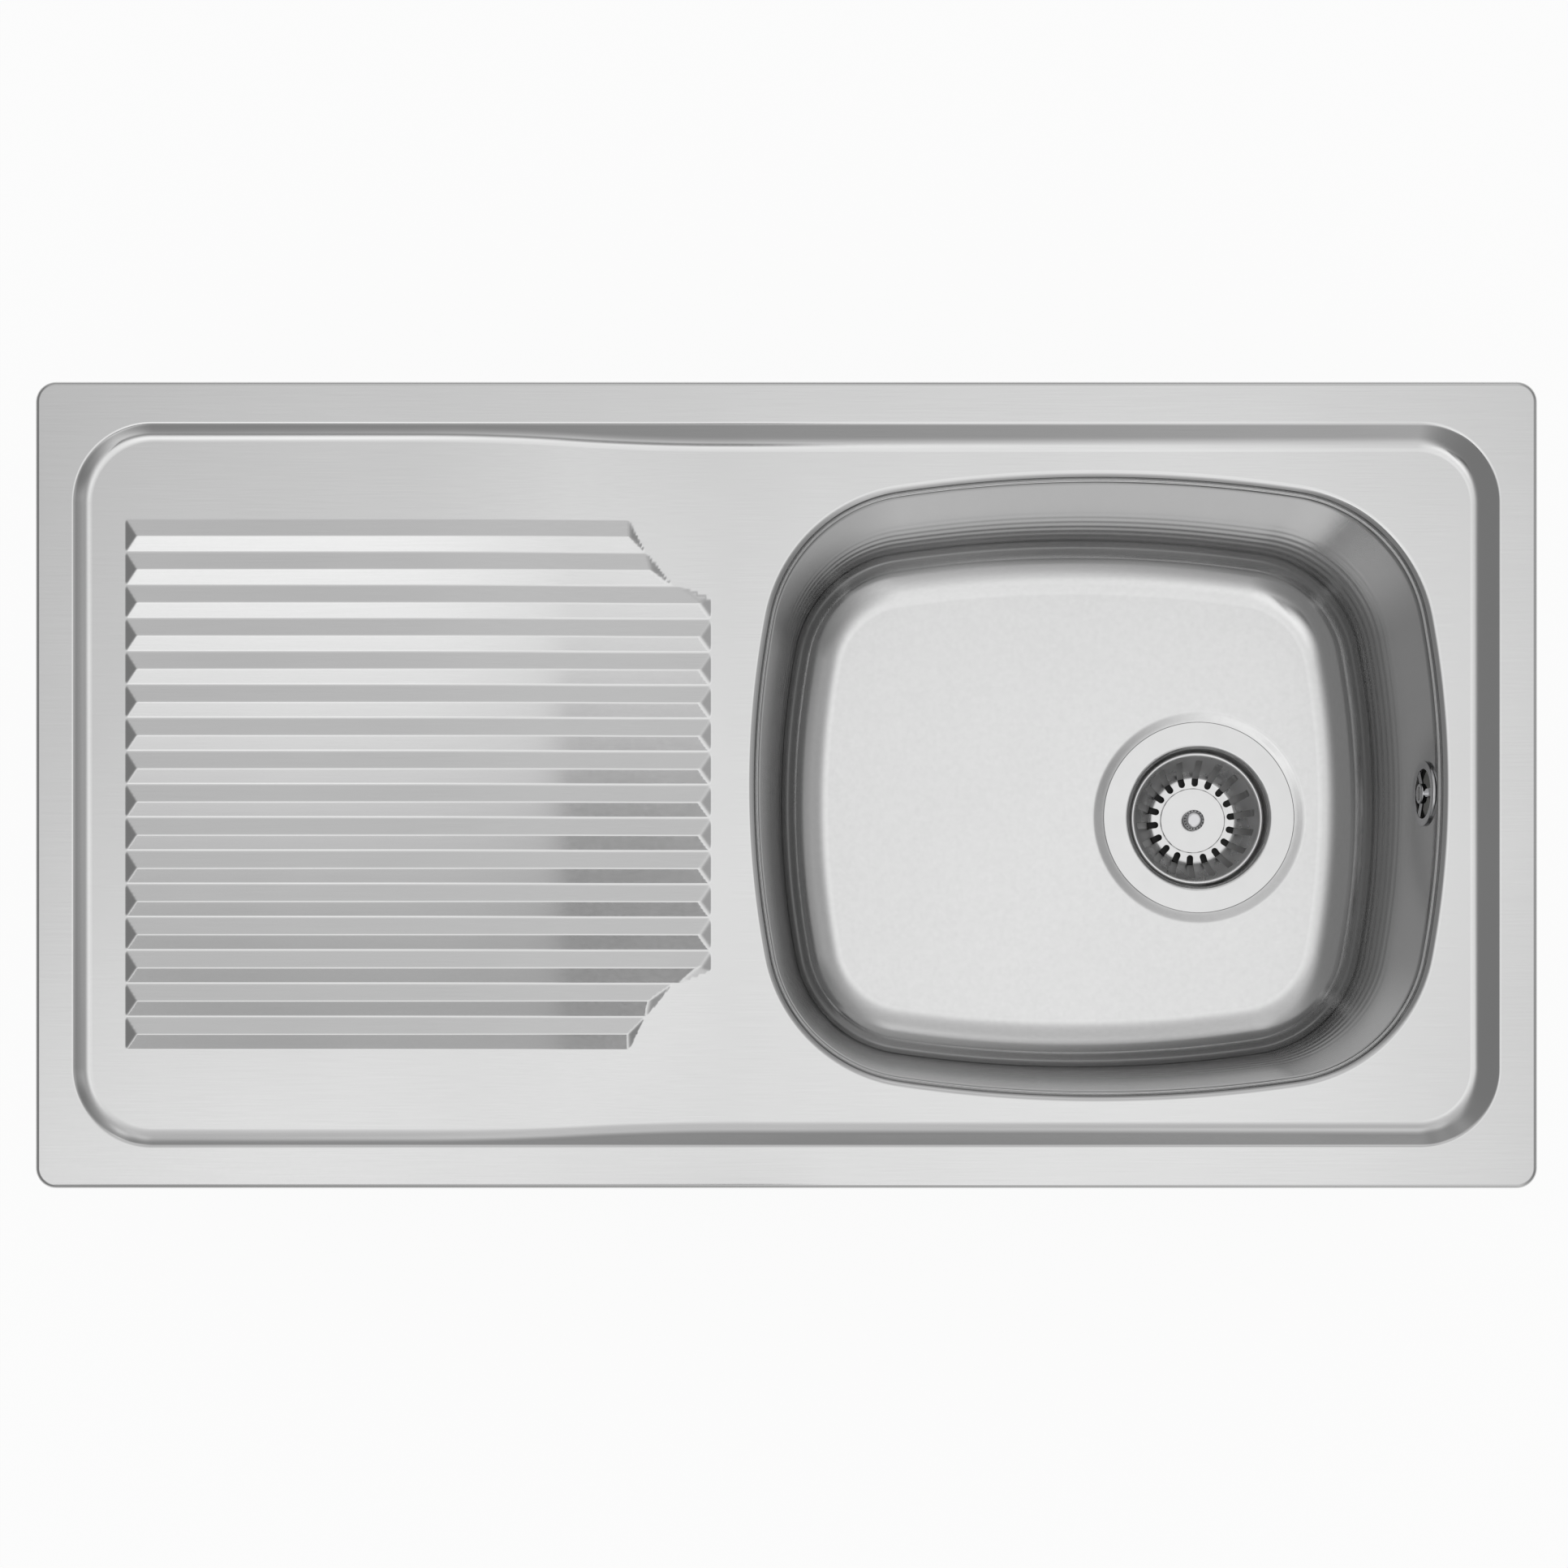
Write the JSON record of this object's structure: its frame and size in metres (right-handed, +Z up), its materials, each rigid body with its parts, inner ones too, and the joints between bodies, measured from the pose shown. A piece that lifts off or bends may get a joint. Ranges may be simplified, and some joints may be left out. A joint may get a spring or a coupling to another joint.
{
  "type": "kitchen sink with drainboard",
  "caption": "Inset stainless-steel sink with a ridged drainboard at the left, one deep rounded bowl at the right, a basket strainer waste and a wall overflow.",
  "frame": {"origin": "centre of the worktop's cut-out, on the worktop's top surface, which is the plane of the rim seal's underside", "axes": "+X along the length, from the drainboard to the bowl's end; +Y to the back; +Z up"},
  "size_m": [0.81, 0.435, 0.2465],
  "materials": {
    "deck_steel": "satin, brushed along the length",
    "bowl_steel": "satin",
    "waste_steel": "polished",
    "strainer_steel": "polished",
    "knob_chrome": "polished",
    "rosette_chrome": "polished",
    "screw_steel": "plain",
    "clip_steel": "zinc plated",
    "post_brass": "machined",
    "gasket_rubber": "matte",
    "seal_rubber": "matte",
    "foam_seal": "matte foam",
    "sound_pad": "matte",
    "waste_plastic": "matte",
    "hose_plastic": "matte",
    "pad_plastic": "matte"
  },
  "bodies": {
    "sink": {"sink_deck": "deck_steel", "sink_bowl": "bowl_steel", "edge_seal": "foam_seal", "sound_pad": "sound_pad", "earth_tag": "clip_steel", "earth_screw": "screw_steel", "earth_nut": "screw_steel", "waste_flange": "waste_steel", "flange_gasket": "gasket_rubber", "lower_gasket": "gasket_rubber", "waste_body": "waste_plastic", "centre_post": "post_brass", "overflow_rosette": "rosette_chrome", "overflow_screw": "screw_steel", "overflow_gasket": "gasket_rubber", "overflow_head": "waste_plastic", "overflow_hose": "hose_plastic", "hose_clamp_upper": "screw_steel", "hose_clamp_lower": "screw_steel", "clip_anchors": "clip_steel", "clip_body_back_left": "clip_steel", "clip_body_front_left": "clip_steel", "clip_body_back_middle": "clip_steel", "clip_body_front_middle": "clip_steel", "clip_body_back_right": "clip_steel", "clip_body_front_right": "clip_steel", "clip_body_left_end": "clip_steel", "clip_body_right_end": "clip_steel"},
    "strainer_catch": {"strainer_bush": "waste_plastic"},
    "strainer": {"strainer_basket": "strainer_steel", "strainer_cap": "strainer_steel", "strainer_knob": "knob_chrome", "strainer_stem": "screw_steel", "strainer_seal": "seal_rubber", "strainer_washer": "strainer_steel", "strainer_nut": "screw_steel"},
    "clip_pad_back_left": {"clip_pad_back_left": "pad_plastic"},
    "clip_screw_back_left": {"clip_screw_back_left": "screw_steel"},
    "clip_pad_front_left": {"clip_pad_front_left": "pad_plastic"},
    "clip_screw_front_left": {"clip_screw_front_left": "screw_steel"},
    "clip_pad_back_middle": {"clip_pad_back_middle": "pad_plastic"},
    "clip_screw_back_middle": {"clip_screw_back_middle": "screw_steel"},
    "clip_pad_front_middle": {"clip_pad_front_middle": "pad_plastic"},
    "clip_screw_front_middle": {"clip_screw_front_middle": "screw_steel"},
    "clip_pad_back_right": {"clip_pad_back_right": "pad_plastic"},
    "clip_screw_back_right": {"clip_screw_back_right": "screw_steel"},
    "clip_pad_front_right": {"clip_pad_front_right": "pad_plastic"},
    "clip_screw_front_right": {"clip_screw_front_right": "screw_steel"},
    "clip_pad_left_end": {"clip_pad_left_end": "pad_plastic"},
    "clip_screw_left_end": {"clip_screw_left_end": "screw_steel"},
    "clip_pad_right_end": {"clip_pad_right_end": "pad_plastic"},
    "clip_screw_right_end": {"clip_screw_right_end": "screw_steel"}
  },
  "joints": [
    {"name": "strainer_lift", "type": "slide", "parent": "sink", "child": "strainer_catch", "axis": [0, 0, 1], "range_m": [0, 0.2]},
    {"name": "strainer_turn", "type": "hinge", "parent": "strainer_catch", "child": "strainer", "pos_m": [0.244, -0.006, -0.18], "axis": [0, 0, 1], "continuous": true},
    {"name": "clip_lift_back_left", "type": "slide", "parent": "sink", "child": "clip_pad_back_left", "axis": [0, 0, 1], "range_m": [0, 0.012]},
    {"name": "clip_turn_back_left", "type": "hinge", "parent": "clip_pad_back_left", "child": "clip_screw_back_left", "pos_m": [-0.27, 0.2123, -0.0455], "axis": [0, 0, 1], "range_deg": [0, 5400]},
    {"name": "clip_lift_front_left", "type": "slide", "parent": "sink", "child": "clip_pad_front_left", "axis": [0, 0, 1], "range_m": [0, 0.012]},
    {"name": "clip_turn_front_left", "type": "hinge", "parent": "clip_pad_front_left", "child": "clip_screw_front_left", "pos_m": [-0.27, -0.2123, -0.0455], "axis": [0, 0, 1], "range_deg": [0, 5400]},
    {"name": "clip_lift_back_middle", "type": "slide", "parent": "sink", "child": "clip_pad_back_middle", "axis": [0, 0, 1], "range_m": [0, 0.012]},
    {"name": "clip_turn_back_middle", "type": "hinge", "parent": "clip_pad_back_middle", "child": "clip_screw_back_middle", "pos_m": [0, 0.2123, -0.0455], "axis": [0, 0, 1], "range_deg": [0, 5400]},
    {"name": "clip_lift_front_middle", "type": "slide", "parent": "sink", "child": "clip_pad_front_middle", "axis": [0, 0, 1], "range_m": [0, 0.012]},
    {"name": "clip_turn_front_middle", "type": "hinge", "parent": "clip_pad_front_middle", "child": "clip_screw_front_middle", "pos_m": [0, -0.2123, -0.0455], "axis": [0, 0, 1], "range_deg": [0, 5400]},
    {"name": "clip_lift_back_right", "type": "slide", "parent": "sink", "child": "clip_pad_back_right", "axis": [0, 0, 1], "range_m": [0, 0.012]},
    {"name": "clip_turn_back_right", "type": "hinge", "parent": "clip_pad_back_right", "child": "clip_screw_back_right", "pos_m": [0.27, 0.2123, -0.0455], "axis": [0, 0, 1], "range_deg": [0, 5400]},
    {"name": "clip_lift_front_right", "type": "slide", "parent": "sink", "child": "clip_pad_front_right", "axis": [0, 0, 1], "range_m": [0, 0.012]},
    {"name": "clip_turn_front_right", "type": "hinge", "parent": "clip_pad_front_right", "child": "clip_screw_front_right", "pos_m": [0.27, -0.2123, -0.0455], "axis": [0, 0, 1], "range_deg": [0, 5400]},
    {"name": "clip_lift_left_end", "type": "slide", "parent": "sink", "child": "clip_pad_left_end", "axis": [0, 0, 1], "range_m": [0, 0.012]},
    {"name": "clip_turn_left_end", "type": "hinge", "parent": "clip_pad_left_end", "child": "clip_screw_left_end", "pos_m": [-0.3998, 0, -0.0455], "axis": [0, 0, 1], "range_deg": [0, 5400]},
    {"name": "clip_lift_right_end", "type": "slide", "parent": "sink", "child": "clip_pad_right_end", "axis": [0, 0, 1], "range_m": [0, 0.012]},
    {"name": "clip_turn_right_end", "type": "hinge", "parent": "clip_pad_right_end", "child": "clip_screw_right_end", "pos_m": [0.3998, 0, -0.0455], "axis": [0, 0, 1], "range_deg": [0, 5400]}
  ],
  "couplings": [
    {"joint": "clip_turn_back_left", "follows": "clip_lift_back_left", "rad_per_m": 7853.9},
    {"joint": "clip_turn_front_left", "follows": "clip_lift_front_left", "rad_per_m": 7853.9},
    {"joint": "clip_turn_back_middle", "follows": "clip_lift_back_middle", "rad_per_m": 7853.9},
    {"joint": "clip_turn_front_middle", "follows": "clip_lift_front_middle", "rad_per_m": 7853.9},
    {"joint": "clip_turn_back_right", "follows": "clip_lift_back_right", "rad_per_m": 7853.9},
    {"joint": "clip_turn_front_right", "follows": "clip_lift_front_right", "rad_per_m": 7853.9},
    {"joint": "clip_turn_left_end", "follows": "clip_lift_left_end", "rad_per_m": 7853.9},
    {"joint": "clip_turn_right_end", "follows": "clip_lift_right_end", "rad_per_m": 7853.9}
  ]
}
